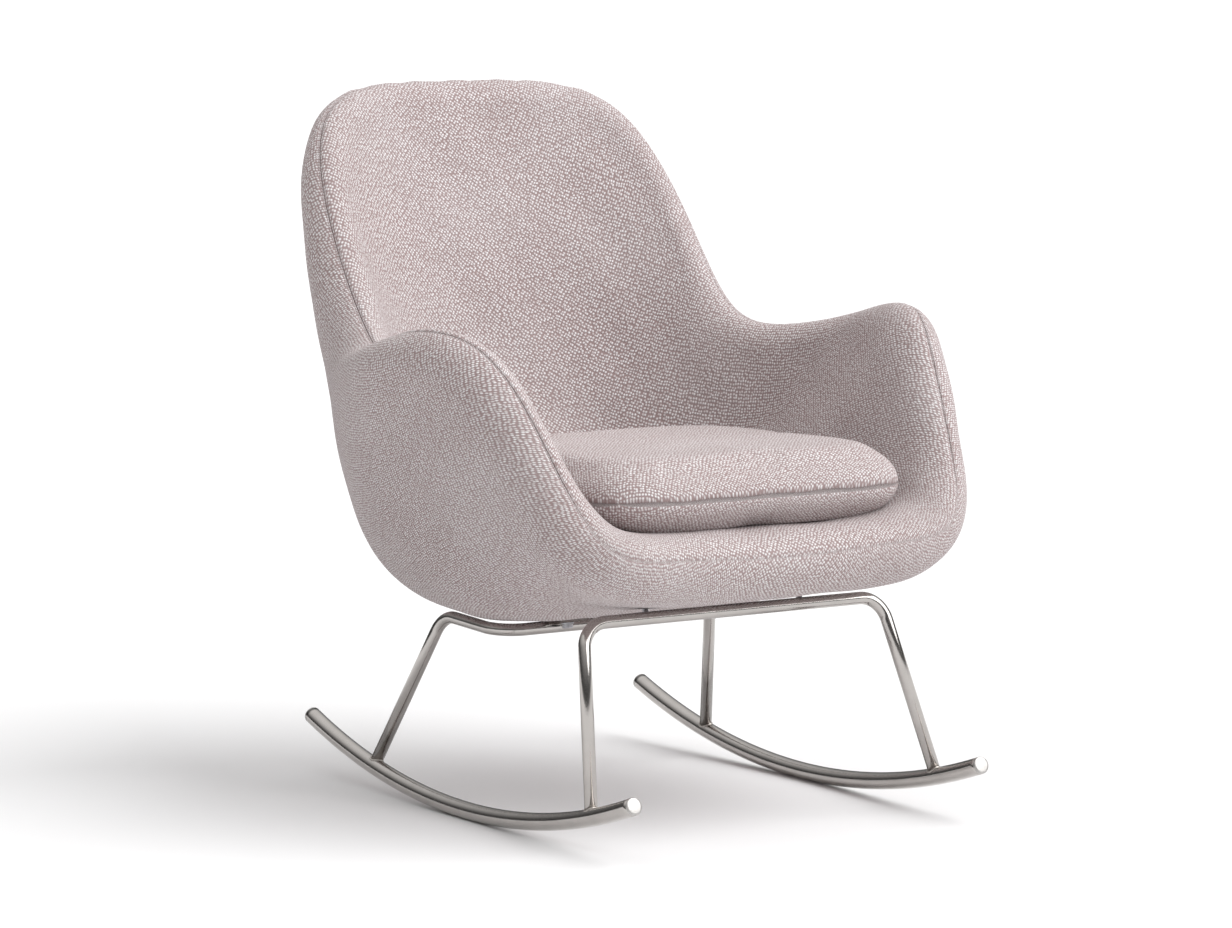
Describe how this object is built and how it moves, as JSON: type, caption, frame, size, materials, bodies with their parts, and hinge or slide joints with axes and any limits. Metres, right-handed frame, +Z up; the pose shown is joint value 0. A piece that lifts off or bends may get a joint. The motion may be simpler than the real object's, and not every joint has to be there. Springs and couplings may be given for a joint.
{
  "type": "rocking chair",
  "caption": "High-backed upholstered bucket rocking chair with low arms and a loose seat cushion, on a bent steel tube base with curved rockers.",
  "frame": {"origin": "on the floor, in the plane of symmetry, under the lowest point of the rockers as the chair stands at rest", "axes": "+Z up, the chair faces -Y, +X to the left hand of someone sitting in it"},
  "size_m": [0.7842, 0.8758, 0.898],
  "materials": {
    "brushed_steel": "satin brushed stainless tube",
    "plug_steel": "flat satin end plugs",
    "zinc": "zinc plated",
    "frame_steel": "black powder coat",
    "webbing": "elastic webbing",
    "foam": "moulded foam",
    "fabric": "coarse woven wool in off-white and mauve grey"
  },
  "bodies": {
    "chair": {"rocker_left": "brushed_steel", "rocker_right": "brushed_steel", "front_leg_bow": "brushed_steel", "plug_front_left": "plug_steel", "tab_front_left": "brushed_steel", "washer_front_left": "zinc", "screw_front_left": "zinc", "boss_front_left": "frame_steel", "plug_front_right": "plug_steel", "tab_front_right": "brushed_steel", "washer_front_right": "zinc", "screw_front_right": "zinc", "boss_front_right": "frame_steel", "rear_leg_bow": "brushed_steel", "plug_rear_left": "plug_steel", "tab_rear_left": "brushed_steel", "washer_rear_left": "zinc", "screw_rear_left": "zinc", "boss_rear_left": "frame_steel", "plug_rear_right": "plug_steel", "tab_rear_right": "brushed_steel", "washer_rear_right": "zinc", "screw_rear_right": "zinc", "boss_rear_right": "frame_steel", "shell_hoop": "frame_steel", "shell_rib_left": "frame_steel", "shell_rib_right": "frame_steel", "strap_1": "webbing", "strap_2": "webbing", "strap_3": "webbing", "strap_4": "webbing", "strap_5": "webbing", "strap_6": "webbing", "inner_foam": "foam", "outer_foam": "foam", "inner_cover": "fabric", "outer_cover": "fabric"},
    "cushion": {"cushion_core": "foam", "cushion_cover_top": "fabric", "cushion_cover_bottom": "fabric"}
  },
  "joints": [
    {"name": "cushion_lift", "type": "slide", "parent": "chair", "child": "cushion", "axis": [0, 0, 1], "range_m": [0, 0.25]}
  ]
}
